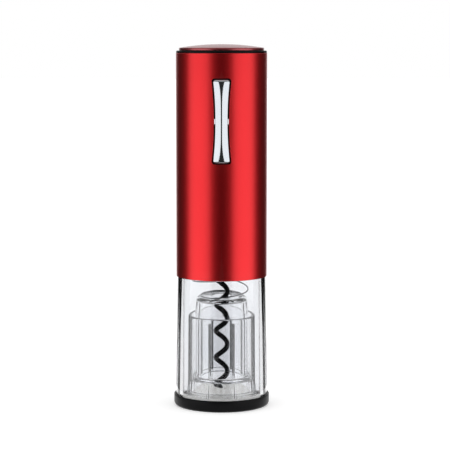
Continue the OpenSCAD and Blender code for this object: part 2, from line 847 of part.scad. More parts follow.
module switch_bezel() color([0.05, 0.05, 0.055])
    difference() {
        intersection() {
            ring(inner_r, inner_r - bezel_thick, rocker_z - rocker_h / 2 - bezel_margin,
                rocker_h + 2 * bezel_margin - 0.5);
            translate([-bezel_half_w, -body_r, 0]) cube([2 * bezel_half_w, body_r, sleeve_top]);
        }
        rocker_bar(bezel_gap, body_r / 2, body_r + 2);
        translate([-4.5, -body_r, rocker_z - pivot_boss_r - 0.4])
            cube([9, body_r / 2, 2 * pivot_boss_r + 0.8]);
        translate([-body_r, -pivot_y, rocker_z]) rotate([0, 90, 0]) cylinder(r = pivot_pin_r, h = body_d);
    }

module switch_pin() color([0.7, 0.7, 0.72])
    translate([-5.8, -pivot_y, rocker_z]) rotate([0, 90, 0]) cylinder(r = pivot_pin_r, h = 11.6);

module switch_board() color([0.05, 0.3, 0.15])
    translate([-board_half_w, -board_y, tray_z + tray_floor_t + 0.1])
        cube([2 * board_half_w, board_t, rocker_z + post_up + 6 - tray_z - tray_floor_t]);

module tact_switches() color([0.1, 0.1, 0.1])
    for (side = [-1, 1])
        translate([0, -board_y, rocker_z + side * post_up]) {
            translate([-3, -switch_depth, -3]) cube([6, switch_depth, 6]);
            rotate([90, 0, 0]) cylinder(r = dome_r, h = dome_y - board_y);
        }

module rocker_button() color([0.85, 0.86, 0.88])
    difference() {
        union() {
            intersection() {
                rocker_bar(0, rocker_back, rocker_front);
                translate([0, -rocker_front + rocker_crown_r, rocker_z - rocker_h])
                    cylinder(r = rocker_crown_r, h = 2 * rocker_h);
            }
            translate([-4.1, -pivot_y, rocker_z]) rotate([0, 90, 0]) cylinder(r = pivot_boss_r, h = 8.2);
            translate([-ear_half_w, -ear_front, rocker_z - ear_half_h])
                cube([2 * ear_half_w, ear_front - pivot_y, 2 * ear_half_h]);
            for (side = [-1, 1])
                translate([0, -post_tip, rocker_z + side * post_up])
                    rotate([90, 0, 0]) cylinder(r = 1.2, h = rocker_back - post_tip + 1);
        }
        translate([-body_r, -pivot_y, rocker_z])
            rotate([0, 90, 0]) cylinder(r = pivot_pin_r + run_gap, h = body_d);
    }

// ---------- cap end ----------

// One ridge of the quick thread, between two radii, thinner at its crest
module thread_ridge(r_in, r_out, half_in, half_out, z, first) {
    steps = 10;
    skin([
        for (i = [0:steps])
            let (
                turn = thread_span * i / steps,
                a = first + turn,
                mid = z + thread_lead * turn / 360,
                dir = [cos(a), sin(a), 0]
            )
            [
                r_in * dir + [0, 0, mid - half_in], r_in * dir + [0, 0, mid + half_in],
                r_out * dir + [0, 0, mid + half_out], r_out * dir + [0, 0, mid - half_out]
            ]
    ]);
}

module top_ring() color([0.05, 0.05, 0.055]) {
    edge = 0.6;
    rotate_extrude()
        polygon(concat(
            [[ring_ir, ring_low], [inner_r, ring_low], [inner_r, sleeve_top], [body_r - 0.1, sleeve_top]],
            arc(body_r - 0.1 - edge, flange_top - edge, edge, 0, 90, 4),
            [[ring_ir, flange_top]]
        ));
    for (i = [0:thread_starts - 1])
        thread_ridge(ring_ir - thread_high, ring_ir + 0.1, thread_half - 0.1, thread_half, thread_z,
            360 * i / thread_starts);
}

module cap_plug() color([0.08, 0.08, 0.085]) {
    half_pitch = thread_lead / thread_starts / 2;
    difference() {
        union() {
            ring(plug_r, plug_r - plug_wall, plug_low, plug_top - plug_low);
            disc(plug_r - 0.2, web_z, web_t);
        }
        disc(rivet_r + run_gap, web_z - 1, web_t + 2);
    }
    for (i = [0:thread_starts - 1])
        thread_ridge(plug_r - 0.1, plug_r + thread_high, thread_half, thread_half - 0.1,
            thread_z - half_pitch, 360 * i / thread_starts);
}

module cap_plate() color([0.5, 0.06, 0.08]) {
    edge = 0.5;
    rim_top = flange_top + cap_rim_h;
    shell_r = cap_r - edge;
    difference() {
        rotate_extrude()
            polygon(concat(
                [[0, cap_z], [cap_r - 0.2, cap_z], [cap_r, cap_z + 0.2]],
                arc(shell_r, rim_top - edge, edge, 0, 60, 3),
                [for (i = [9:-1:0]) let (r = (shell_r - 0.2) * i / 9) [r, rim_top + dome_h * (1 - pow(i / 9, 2))]]
            ));
        disc(plug_r, cap_z - 1, plug_top - cap_z + 1);
    }
}

module contact_carrier() color([0.14, 0.14, 0.15])
    difference() {
        union() {
            disc(carrier_disc_r, carrier_disc_z, carrier_disc_t);
            translate([-key_peg / 2, -key_peg / 2, tray_top - 4])
                cube([key_peg, key_peg, carrier_disc_z - tray_top + 4.2]);
        }
        disc(rivet_r, carrier_disc_z + 0.6, carrier_disc_t);
    }

module cap_contacts() color([0.8, 0.8, 0.8])
    for (x = [-1, 1])
        translate([x * cell_at - 5, -cell_at - 5, contact_top_z]) cube([10, 2 * cell_at + 10, contact_t]);

module cap_springs() color([0.8, 0.8, 0.8])
    for (x = [-1, 1], y = [-1, 1])
        if (!nub_up(x, y))
            translate([x * cell_at, y * cell_at, 0])
                coil_spring(2.2, 4.4, contact_top_z - cell_spring_h, contact_top_z, 1.2, 0.35);

module carrier_rivet() color([0.7, 0.7, 0.72]) {
    disc(rivet_r, carrier_disc_z + 0.6, web_z + web_t + 0.1 - carrier_disc_z);
    disc(3, web_z + web_t + 0.05, 0.8);
}

// ---------- worm ----------

// Path of the worm from its tip: a curled point, the helix, then a run in to the straight shank
function worm_path() =
    let (
        tip_end_z = worm_tip_z + tip_rise,
        total = 360 * (worm_end_z - tip_end_z) / worm_pitch,
        turn_end = total - run_in,
        count = round((tip_sweep + total) / 15)
    )
    [
        for (i = [0:count])
            let (
                a = -tip_sweep + (tip_sweep + total) * i / count,
                z = a < 0 ? tip_end_z + tip_rise * a / tip_sweep : tip_end_z + worm_pitch * a / 360,
                fade = a < turn_end ? 1 : (1 + cos(180 * (a - turn_end) / run_in)) / 2,
                curl = a < 0 ? 1 + 0.25 * a / tip_sweep : 1
            )
            [worm_helix_r * fade * curl * cos(180 + a), worm_helix_r * fade * curl * sin(180 + a), z]
    ];

module corkscrew_worm() color([0.1, 0.1, 0.11]) {
    path = worm_path();
    radii = [
        for (i = [0:len(path) - 1])
            let (t = min(1, i / 9)) worm_wire_r * (0.1 + 0.9 * sqrt(t * (2 - t)))
    ];
    tube(path, radii, sides = 12);
    disc(shank_r, chuck_z - 0.6, chuck_mid - chuck_z + 0.6);
}

module worm_chuck() color([0.7, 0.7, 0.72])
    difference() {
        disc(chuck_r, chuck_z, chuck_top - chuck_z);
        disc(shank_r, chuck_z - 1, chuck_h);
        disc(output_shaft_r, chuck_mid, chuck_h);
        translate([0, 0, chuck_screw_z]) rotate([0, 90, 0]) cylinder(r = 1.2, h = chuck_r + 1);
    }

module chuck_screw() color([0.25, 0.25, 0.26])
    translate([output_shaft_r, 0, chuck_screw_z])
        rotate([0, 90, 0])
            difference() {
                cylinder(r = 1.2, h = chuck_r - output_shaft_r - 0.2);
                translate([0, 0, 0.8]) cylinder(r = 0.7, h = 2, $fn = 6);
            }

base_ring();
clear_chamber();
neck_guide();
cork_sleeve();
return_spring();
outer_sleeve();
bulkhead();
chassis_front();
chassis_rear();
chassis_screws();
output_plate();
output_bush();
thrust_washer();
ring_gear();
motor_plate();
gearbox_screws();
output_carrier();
output_carrier_pins();
output_shaft();
worm_chuck();
chuck_screw();
corkscrew_worm();
planet_2a();
planet_2b();
planet_2c();
carrier_1();
carrier_1_pins();
planet_1a();
planet_1b();
planet_1c();
motor_shaft();
motor_pinion();
motor_can();
motor_end_bell();
motor_terminals();
motor_screws();
motor_leads();
battery_tray();
battery_contacts();
battery_springs();
battery_cells();
switch_bezel();
switch_pin();
switch_board();
tact_switches();
rocker_button();
top_ring();
contact_carrier();
cap_contacts();
cap_springs();
carrier_rivet();
cap_plug();
cap_plate();
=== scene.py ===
"""Looks of a cordless electric wine opener: clear bottle end, dark worm, red sleeve, chrome rocker."""
import json
import math

import bpy
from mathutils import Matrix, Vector


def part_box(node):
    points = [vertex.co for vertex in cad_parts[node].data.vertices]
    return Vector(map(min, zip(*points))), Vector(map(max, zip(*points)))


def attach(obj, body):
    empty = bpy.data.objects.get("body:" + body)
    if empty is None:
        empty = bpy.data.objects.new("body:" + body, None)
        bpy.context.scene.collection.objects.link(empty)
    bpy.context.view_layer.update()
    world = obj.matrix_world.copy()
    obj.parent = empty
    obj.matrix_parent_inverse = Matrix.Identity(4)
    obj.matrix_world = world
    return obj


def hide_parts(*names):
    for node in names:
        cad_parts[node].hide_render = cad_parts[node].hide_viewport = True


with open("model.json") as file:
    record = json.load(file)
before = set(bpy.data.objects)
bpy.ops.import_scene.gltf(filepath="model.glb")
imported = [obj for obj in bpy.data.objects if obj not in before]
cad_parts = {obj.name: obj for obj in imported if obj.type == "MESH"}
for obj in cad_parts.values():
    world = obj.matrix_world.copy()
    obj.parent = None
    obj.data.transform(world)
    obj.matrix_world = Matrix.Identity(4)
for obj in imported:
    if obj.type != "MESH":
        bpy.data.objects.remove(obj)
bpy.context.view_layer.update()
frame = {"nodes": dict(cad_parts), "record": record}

MM = 0.001
ROUND = 192  # segments round a turned piece


# ---------- sizes read from the frame ----------

def low(node):
    """The lowest corner of a node's box."""
    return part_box(node)[0]


def high(node):
    """The highest corner of a node's box."""
    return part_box(node)[1]


SLEEVE_R = high("outer_sleeve")[0]
SLEEVE_LOW = low("outer_sleeve")[2]
SLEEVE_TOP = high("outer_sleeve")[2]
SLEEVE_WALL = 1.0 * MM
SPIGOT_GAP = 0.25 * MM  # between the chamber's spigot and the sleeve
LIP_STEP = 0.7 * MM  # the chamber's shoulder lies this far inside the sleeve
CHAMBER_WALL = 2.7 * MM
COLLAR_WALL = 1.6 * MM
BASE_LIP = 1.2 * MM  # thickness of the base band's lip, on which the chamber stands
BASE_R = high("base_ring")[0]
FLOOR_TOP = low("neck_guide")[2]
FOOT_R = high("clear_chamber")[0]
SPIGOT_TOP = high("clear_chamber")[2]
LIP_R = SLEEVE_R - LIP_STEP
SPIGOT_R = SLEEVE_R - SLEEVE_WALL - SPIGOT_GAP
CHAMBER_IR = LIP_R - CHAMBER_WALL
NECK_R = 15.4 * MM
COLLAR_R = NECK_R + COLLAR_WALL
GUIDE_TOP = high("neck_guide")[2]
CORK_LOW = low("cork_sleeve")[2]
CORK_TOP = high("cork_sleeve")[2]
SPRING_LOW = low("return_spring")[2]
SPRING_TOP = high("return_spring")[2]
WORM_R = (high("corkscrew_worm")[0] - low("corkscrew_worm")[0]) / 2
WORM_TIP = low("corkscrew_worm")[2]
WORM_TOP = high("corkscrew_worm")[2]
ROCKER_LOW = low("rocker_button")[2]
ROCKER_TOP = high("rocker_button")[2]
ROCKER_MID = (ROCKER_LOW + ROCKER_TOP) / 2
ROCKER_HALF = (ROCKER_TOP - ROCKER_LOW) / 2
ROCKER_FRONT = -low("rocker_button")[1]
ROCKER_CORNER = 1.6 * MM
WINDOW_GAP = 0.6 * MM  # between the rocker and the sleeve's window
PIVOT_DEPTH = 2.7 * MM  # from the sleeve's face back to the rocker's pin
PIVOT_Y = PIVOT_DEPTH - SLEEVE_R
POST_TRIM = 0.25 * MM  # keeps the rocker's posts clear of the switches
POST_TIP = POST_TRIM - high("rocker_button")[1]
CAP_R = high("cap_plate")[0]
CAP_LOW = low("cap_plate")[2]
CAP_TOP = high("cap_plate")[2]
RING_LOW = low("top_ring")[2]
RING_TOP = high("top_ring")[2]


# ---------- mesh helpers ----------

def make_piece(name, points, faces, body, slot, material, replaces=(), sharp=35):
    """A mesh piece with smooth shading and sharp edges, riding on a body."""
    mesh = bpy.data.meshes.new(name)
    mesh.from_pydata([tuple(p) for p in points], [], faces)
    mesh.validate()
    mesh.shade_smooth()
    mesh.set_sharp_from_angle(angle=math.radians(sharp))
    mesh.materials.append(material)
    piece = bpy.data.objects.new(name, mesh)
    bpy.context.scene.collection.objects.link(piece)
    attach(piece, body)
    if replaces:
        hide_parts(*replaces)
    return piece


def rounded(corners, steps=6):
    """Points of a closed outline whose corners are (r, z, radius), each corner rounded."""
    most = 0.49  # share of a side that one corner may take
    points = []
    count = len(corners)
    for i, (x, y, radius) in enumerate(corners):
        here = Vector((x, y))
        if radius <= 0:
            points.append(here)
            continue
        back = Vector(corners[i - 1][:2]) - here
        ahead = Vector(corners[(i + 1) % count][:2]) - here
        half = back.angle(ahead) / 2
        reach = min(radius / math.tan(half), most * back.length, most * ahead.length)
        radius = reach * math.tan(half)
        back.normalize()
        ahead.normalize()
        centre = here + (back + ahead).normalized() * (radius / math.sin(half))
        start = here + back * reach - centre
        end = here + ahead * reach - centre
        sweep = start.angle(end)
        for k in range(steps + 1):
            t = k / steps
            a = math.sin((1 - t) * sweep) / math.sin(sweep)
            b = math.sin(t * sweep) / math.sin(sweep)
            points.append(centre + start * a + end * b)
    return [(p[0], p[1]) for p in points]


def on_circle(r, angle, z):
    """The point at a radius, at an angle from +X in radians, and at a height."""
    return r * math.cos(angle), r * math.sin(angle), z


def turned_rows(outline, segments):
    """Copies of an outline of (r, z) at even steps round the Z axis, as one list of points."""
    return [on_circle(r, 2 * math.pi * s / segments, z) for s in range(segments) for r, z in outline]


def ring_faces(rows, n, closed=False):
    """Faces between rows of n points, each row a ring: a tube with capped ends, or one closed on itself."""
    faces = []
    for i in range(rows if closed else rows - 1):
        after = (i + 1) % rows
        for k in range(n):
            m = (k + 1) % n
            faces.append((i * n + k, i * n + m, after * n + m, after * n + k))
    if not closed:
        faces.append(tuple(range(n - 1, -1, -1)))
        faces.append(tuple((rows - 1) * n + k for k in range(n)))
    return faces


def turned_over(faces):
    """The same faces, looking the other way."""
    return [tuple(reversed(f)) for f in faces]


def turned(outline, segments=ROUND):
    """Points and faces of a closed outline turned round the Z axis."""
    faces = ring_faces(segments, len(outline), closed=True)
    return turned_rows(outline, segments), outward(outline, faces)


def outward(outline, faces):
    """Turns the faces over if the outline runs clockwise, so that they look outward."""
    area = 0
    for (r0, z0), (r1, z1) in zip(outline, outline[1:] + outline[:1]):
        area += r0 * z1 - r1 * z0
    return faces if area < 0 else turned_over(faces)


def domed(outline, segments=ROUND):
    """A turned solid whose outline starts on the axis at its underside and ends on the axis at its top."""
    n = len(outline) - 2
    points = [(0, 0, outline[0][1]), (0, 0, outline[-1][1])] + turned_rows(outline[1:-1], segments)
    faces = []
    for s in range(segments):
        here = 2 + s * n
        there = 2 + ((s + 1) % segments) * n
        faces.append((0, there, here))
        faces.append((1, here + n - 1, there + n - 1))
        for k in range(n - 1):
            faces.append((here + k, there + k, there + k + 1, here + k + 1))
    return points, faces


def swept(path, radii, sides=14):
    """Points and faces of a round wire along a path."""
    points = []
    last = len(path) - 1
    for i, at in enumerate(path):
        ahead = (Vector(path[min(i + 1, last)]) - Vector(path[max(i - 1, 0)])).normalized()
        side = ahead.cross(Vector((0, 0, 1))).normalized()
        up = ahead.cross(side)
        for k in range(sides):
            a = 2 * math.pi * k / sides
            points.append(Vector(at) + radii[i] * (math.cos(a) * side + math.sin(a) * up))
    return points, ring_faces(len(path), sides)


def turn(x, y, angle):
    """A place on the level turned about Z."""
    c, s = math.cos(angle), math.sin(angle)
    return x * c - y * s, x * s + y * c


def prism(loop, z0, z1):
    """An upright solid between two heights. Its loop runs anticlockwise seen from above."""
    return [(x, y, z) for z in (z0, z1) for x, y in loop], ring_faces(2, len(loop))


def slab(x0, x1, y0, y1, z0, z1, angle=0.0, bevel=0.0):
    """An upright block with chamfered vertical edges, turned about Z."""
    b = bevel
    loop = [(x0 + b, y0), (x1 - b, y0), (x1, y0 + b), (x1, y1 - b),
            (x1 - b, y1), (x0 + b, y1), (x0, y1 - b), (x0, y0 + b)]
    return prism([turn(x, y, angle) for x, y in loop], z0, z1)


def joined(*parts):
    """Several (points, faces) as one."""
    points, faces = [], []
    for p, f in parts:
        base = len(points)
        points += list(p)
        faces += [tuple(base + i for i in face) for face in f]
    return points, faces


def without_loose(points, faces):
    """The same faces, without the points that none of them uses."""
    used = sorted({p for face in faces for p in face})
    place_of = {p: i for i, p in enumerate(used)}
    return [points[p] for p in used], [tuple(place_of[p] for p in face) for face in faces]


# ---------- shader groups ----------

def new_group(name, inputs, outputs):
    """A shader node group with the named sockets: {name: (type, default)}."""
    tree = bpy.data.node_groups.new(name, "ShaderNodeTree")
    for label, (kind, value) in inputs.items():
        socket = tree.interface.new_socket(label, in_out="INPUT", socket_type=kind)
        socket.default_value = value
    for label, kind in outputs.items():
        tree.interface.new_socket(label, in_out="OUTPUT", socket_type=kind)
    return tree, tree.nodes.new("NodeGroupInput"), tree.nodes.new("NodeGroupOutput")


FLOAT, COLOR, VECTOR = "NodeSocketFloat", "NodeSocketColor", "NodeSocketVector"
NOISE_SPAN = (0.3, 0.7)  # most values of a noise texture lie in this span
EDGE_SPAN = (0.53, 0.62)  # pointiness from where the edge wear and painted highlight start to where they are full
RELIEF_DEPTH = 0.05 * MM


def map_range(nodes, value_from, value_to=(0.0, 1.0)):
    """A Map Range node between two pairs of values."""
    node = nodes.new("ShaderNodeMapRange")
    node.inputs["From Min"].default_value, node.inputs["From Max"].default_value = value_from
    node.inputs["To Min"].default_value, node.inputs["To Max"].default_value = value_to
    return node


def math_node(nodes, operation, second=0.5):
    """A Math node with its second value set."""
    node = nodes.new("ShaderNodeMath")
    node.operation = operation
    node.inputs[1].default_value = second
    return node


def colour_mix(nodes):
    """A Mix node that blends two colours."""
    node = nodes.new("ShaderNodeMix")
    node.data_type = "RGBA"
    return node


def add_relief(tree, given, out, where, detail):
    """Noise that makes a surface uneven, and rougher in some spots than in others."""
    noise = tree.nodes.new("ShaderNodeTexNoise")
    noise.inputs["Detail"].default_value = detail
    spread = map_range(tree.nodes, NOISE_SPAN)
    bump = tree.nodes.new("ShaderNodeBump")
    bump.inputs["Distance"].default_value = RELIEF_DEPTH
    link = tree.links.new
    link(where, noise.inputs["Vector"])
    link(given.outputs["Scale"], noise.inputs["Scale"])
    link(noise.outputs["Fac"], spread.inputs["Value"])
    link(given.outputs["Smooth"], spread.inputs["To Min"])
    link(given.outputs["Rough"], spread.inputs["To Max"])
    link(noise.outputs["Fac"], bump.inputs["Height"])
    link(given.outputs["Relief"], bump.inputs["Strength"])
    link(spread.outputs["Result"], out.inputs["Roughness"])
    link(bump.outputs["Normal"], out.inputs["Normal"])


RELIEF_INPUTS = {"Scale": (FLOAT, 3000), "Relief": (FLOAT, 0.1),
                 "Smooth": (FLOAT, 0.3), "Rough": (FLOAT, 0.4)}
RELIEF_OUTPUTS = {"Roughness": FLOAT, "Normal": VECTOR}


def build_grain():
    """Fine moulded or blasted grain: a roughness that varies, and a shallow relief."""
    tree, given, out = new_group("fine_grain", RELIEF_INPUTS, RELIEF_OUTPUTS)
    where = tree.nodes.new("ShaderNodeTexCoord")
    add_relief(tree, given, out, where.outputs["Object"], detail=3)
    return tree


def build_lines():
    """Lines left by turning, drawing or rolling: noise stretched along one direction."""
    inputs = {"Stretch": (VECTOR, (1, 1, 1)), **RELIEF_INPUTS}
    tree, given, out = new_group("drawn_lines", inputs, RELIEF_OUTPUTS)
    where = tree.nodes.new("ShaderNodeTexCoord")
    stretch = tree.nodes.new("ShaderNodeVectorMath")
    stretch.operation = "MULTIPLY"
    tree.links.new(where.outputs["Object"], stretch.inputs[0])
    tree.links.new(given.outputs["Stretch"], stretch.inputs[1])
    add_relief(tree, given, out, stretch.outputs["Vector"], detail=4)
    return tree


def build_tone():
    """A slow drift between two tones, with a finer speckle laid over it."""
    tree, given, out = new_group(
        "tone_drift",
        {"Tone A": (COLOR, (1, 1, 1, 1)), "Tone B": (COLOR, (0, 0, 0, 1)),
         "Drift Scale": (FLOAT, 40), "Speckle Scale": (FLOAT, 4000), "Speckle": (FLOAT, 0.3)},
        {"Color": COLOR})
    where = tree.nodes.new("ShaderNodeTexCoord")
    slow = tree.nodes.new("ShaderNodeTexNoise")
    fine = tree.nodes.new("ShaderNodeTexNoise")
    blend = tree.nodes.new("ShaderNodeMix")
    contrast = map_range(tree.nodes, NOISE_SPAN)
    tones = colour_mix(tree.nodes)
    link = tree.links.new
    link(where.outputs["Object"], slow.inputs["Vector"])
    link(where.outputs["Object"], fine.inputs["Vector"])
    link(given.outputs["Drift Scale"], slow.inputs["Scale"])
    link(given.outputs["Speckle Scale"], fine.inputs["Scale"])
    link(given.outputs["Speckle"], blend.inputs["Factor"])
    link(slow.outputs["Fac"], blend.inputs["A"])
    link(fine.outputs["Fac"], blend.inputs["B"])
    link(blend.outputs["Result"], contrast.inputs["Value"])
    link(contrast.outputs["Result"], tones.inputs["Factor"])
    link(given.outputs["Tone A"], tones.inputs["A"])
    link(given.outputs["Tone B"], tones.inputs["B"])
    link(tones.outputs["Result"], out.inputs["Color"])
    return tree


def build_edge_wear_and_highlight():
    """Lightens a colour where an edge stands out: partly wear from handling and machining, partly a painted
    highlight.
    """
    tree, given, out = new_group(
        "edge_wear_and_highlight",
        {"Color": (COLOR, (1, 1, 1, 1)), "Rubbed": (COLOR, (1, 1, 1, 1)), "Amount": (FLOAT, 0.4)},
        {"Color": COLOR})
    shape = tree.nodes.new("ShaderNodeNewGeometry")
    mask = map_range(tree.nodes, EDGE_SPAN)
    scale = math_node(tree.nodes, "MULTIPLY")
    tones = colour_mix(tree.nodes)
    link = tree.links.new
    link(shape.outputs["Pointiness"], mask.inputs["Value"])
    link(mask.outputs["Result"], scale.inputs[0])
    link(given.outputs["Amount"], scale.inputs[1])
    link(scale.outputs["Value"], tones.inputs["Factor"])
    link(given.outputs["Color"], tones.inputs["A"])
    link(given.outputs["Rubbed"], tones.inputs["B"])
    link(tones.outputs["Result"], out.inputs["Color"])
    return tree


GRAIN = build_grain()
LINES = build_lines()
TONE = build_tone()
EDGE_WEAR_AND_HIGHLIGHT = build_edge_wear_and_highlight()


# ---------- materials ----------

def place(nodes, tree, **values):
    """A group node with its inputs set; a word's underscores stand for spaces."""
    node = nodes.new("ShaderNodeGroup")
    node.node_tree = tree
    for label, value in values.items():
        node.inputs[label.replace("_", " ")].default_value = value
    return node


def new_material(name, metallic=0.0, **shader_values):
    """A material with a Principled shader, whose constants are set on its own sockets."""
    material = bpy.data.materials.new(name)
    material.use_nodes = True
    shader = material.node_tree.nodes["Principled BSDF"]
    shader.inputs["Metallic"].default_value = metallic
    for label, value in shader_values.items():
        shader.inputs[label.replace("_", " ")].default_value = value
    return material, material.node_tree.nodes, material.node_tree.links.new, shader


def rgb(r, g, b):
    """An opaque colour."""
    return (r, g, b, 1)


def grained(name, tone_a, tone_b, smooth, rough, scale=6000, relief=0.15, metallic=0.0,
            drift=40, speckle=0.3, wear_and_highlight=None, **shader_values):
    """Moulded plastic, rubber, paint or plated metal with a fine grain."""
    material, nodes, link, shader = new_material(name, metallic, **shader_values)
    grain = place(nodes, GRAIN, Scale=scale, Relief=relief, Smooth=smooth, Rough=rough)
    tone = place(nodes, TONE, Tone_A=tone_a, Tone_B=tone_b, Drift_Scale=drift,
                 Speckle_Scale=scale * 0.7, Speckle=speckle)
    colour = tone.outputs["Color"]
    # Lighter colour on sharp edges: partly wear, partly a painted highlight.
    if wear_and_highlight:
        wear_highlight = place(nodes, EDGE_WEAR_AND_HIGHLIGHT, Rubbed=wear_and_highlight)
        link(colour, wear_highlight.inputs["Color"])
        colour = wear_highlight.outputs["Color"]
    link(colour, shader.inputs["Base Color"])
    link(grain.outputs["Roughness"], shader.inputs["Roughness"])
    link(grain.outputs["Normal"], shader.inputs["Normal"])
    return material


def lined(name, tone_a, tone_b, smooth, rough, stretch=(1, 1, 25), scale=900, relief=0.15,
          metallic=1.0, **shader_values):
    """Metal with the lines of turning, drawing or rolling."""
    material, nodes, link, shader = new_material(name, metallic, **shader_values)
    lines = place(nodes, LINES, Stretch=stretch, Scale=scale, Relief=relief, Smooth=smooth, Rough=rough)
    tone = place(nodes, TONE, Tone_A=tone_a, Tone_B=tone_b, Drift_Scale=120,
                 Speckle_Scale=5000, Speckle=0.25)
    link(tone.outputs["Color"], shader.inputs["Base Color"])
    link(lines.outputs["Roughness"], shader.inputs["Roughness"])
    link(lines.outputs["Normal"], shader.inputs["Normal"])
    return material


def clear_plastic(name, tint_a, tint_b, wave=0.02, smooth=0.0, rough=0.03, ior=1.49):
    """Clear moulded plastic with faint flow waves and handling haze."""
    material, nodes, link, shader = new_material(
        name, IOR=ior, Transmission_Weight=1.0, Specular_IOR_Level=0.5)
    grain = place(nodes, GRAIN, Scale=90, Relief=wave, Smooth=smooth, Rough=rough)
    tone = place(nodes, TONE, Tone_A=tint_a, Tone_B=tint_b, Drift_Scale=60, Speckle_Scale=900, Speckle=0.2)
    link(tone.outputs["Color"], shader.inputs["Base Color"])
    link(grain.outputs["Roughness"], shader.inputs["Roughness"])
    link(grain.outputs["Normal"], shader.inputs["Normal"])
    return material


# The edge colours given to the finishes below are partly wear, partly a painted highlight.
RED_ANODISED = grained(
    "red_anodised", rgb(0.86, 0.018, 0.024), rgb(0.80, 0.012, 0.018), 0.36, 0.42, scale=5200, relief=0.10,
    metallic=1.0, drift=18, speckle=0.4, wear_and_highlight=rgb(0.9, 0.08, 0.08), Coat_Weight=0.5, Coat_Roughness=0.32)
RED_GLOSS = grained(
    "red_gloss", rgb(0.42, 0.07, 0.08), rgb(0.36, 0.06, 0.07), 0.30, 0.38, scale=4200, relief=0.04,
    metallic=0.9, drift=25, Coat_Weight=0.6, Coat_Roughness=0.2)
BLACK_PLASTIC = grained(
    "black_plastic", rgb(0.0015, 0.0015, 0.002), rgb(0.003, 0.003, 0.0035), 0.24, 0.38, scale=4800,
    relief=0.2, wear_and_highlight=rgb(0.012, 0.012, 0.014), Specular_IOR_Level=0.1)
CLEAR = clear_plastic("clear_plastic", rgb(0.88, 0.89, 0.905), rgb(0.86, 0.87, 0.89))
CLEAR_INNER = clear_plastic(
    "clear_inner", rgb(0.99, 0.992, 0.996), rgb(0.975, 0.98, 0.99), smooth=0.02, rough=0.06, ior=1.42)
# The glow stands in for the light that clear plastic carries along inside it.
FROSTED = grained(
    "frosted_plastic", rgb(0.97, 0.975, 0.98), rgb(0.5, 0.49, 0.47), 0.25, 0.5, scale=700, relief=0.6,
    drift=300, speckle=0.8, IOR=1.49, Transmission_Weight=0.3, Emission_Color=rgb(1, 0.99, 0.97),
    Emission_Strength=0.22)
CHROME = grained(
    "chrome_plate", rgb(0.56, 0.59, 0.62), rgb(0.50, 0.53, 0.57), 0.10, 0.16, scale=2500, relief=0.01,
    metallic=1.0, drift=60)
WORM_COAT = grained(
    "worm_coating", rgb(0.001, 0.001, 0.0015), rgb(0.008, 0.009, 0.011), 0.22, 0.5, scale=3200, relief=0.7,
    drift=300, speckle=0.7, Specular_IOR_Level=0.12)
SPRING_STEEL = lined(
    "spring_steel", rgb(0.26, 0.26, 0.27), rgb(0.16, 0.16, 0.17), 0.18, 0.34, (1, 1, 1), 2600)
STEEL = lined("turned_steel", rgb(0.66, 0.67, 0.69), rgb(0.55, 0.56, 0.58), 0.2, 0.38)

FINISHES = {
    "black_plastic": BLACK_PLASTIC,
    "clear_plastic": CLEAR,
    "spring_steel": SPRING_STEEL,
    "red_metal": RED_ANODISED,
    "red_cap": RED_GLOSS,
    "steel": STEEL,
    "chrome": CHROME,
    "worm_coating": WORM_COAT,
    "grey_plastic": grained("grey_plastic", rgb(0.03, 0.03, 0.033), rgb(0.05, 0.05, 0.054), 0.45, 0.62,
                            scale=3600, relief=0.4, wear_and_highlight=rgb(0.11, 0.11, 0.115)),
    "dark_steel": lined("black_oxide", rgb(0.06, 0.06, 0.065), rgb(0.1, 0.1, 0.11), 0.3, 0.5),
    "bronze": grained("sintered_bronze", rgb(0.62, 0.36, 0.15), rgb(0.4, 0.22, 0.1), 0.38, 0.6,
                      scale=7000, relief=0.6, metallic=1.0, speckle=0.7),
    "nylon": grained("natural_nylon", rgb(0.82, 0.79, 0.71), rgb(0.74, 0.71, 0.63), 0.4, 0.55,
                     scale=2600, relief=0.2, Subsurface_Weight=0.15,
                     Subsurface_Radius=(0.002, 0.002, 0.002)),
    "brass": lined("turned_brass", rgb(0.82, 0.62, 0.28), rgb(0.66, 0.47, 0.2), 0.2, 0.36),
    "zinc_steel": grained("zinc_plate", rgb(0.62, 0.64, 0.67), rgb(0.5, 0.52, 0.57), 0.28, 0.45,
                          scale=1500, relief=0.12, metallic=1.0, drift=220, speckle=0.5),
    "lead_insulation": grained("lead_insulation", rgb(0.55, 0.02, 0.02), rgb(0.42, 0.015, 0.015), 0.38, 0.5,
                               scale=3000, relief=0.15),
    "nickel": lined("nickel_strip", rgb(0.76, 0.74, 0.68), rgb(0.64, 0.61, 0.55), 0.14, 0.28, (1, 18, 1)),
    "cell_wrap": grained("cell_wrap", rgb(0.06, 0.14, 0.09), rgb(0.04, 0.1, 0.065), 0.22, 0.34,
                         scale=1400, relief=0.08, Coat_Weight=0.4),
    "circuit_board": grained("solder_mask", rgb(0.01, 0.13, 0.05), rgb(0.02, 0.2, 0.08), 0.25, 0.42,
                             scale=1800, relief=0.3, drift=500, speckle=0.6, Coat_Weight=0.3),
    "switch_plastic": grained("switch_plastic", rgb(0.02, 0.02, 0.02), rgb(0.035, 0.035, 0.035), 0.4, 0.6,
                              scale=5000, relief=0.3),
}


def paint_cad_nodes():
    """Gives each CAD node that stays the finish of its slot."""
    for part in frame["record"]["subparts"]:
        mesh = frame["nodes"][part["node"]].data
        mesh.materials.clear()
        mesh.materials.append(FINISHES[part["material_slot"]])


# ---------- bottle end ----------

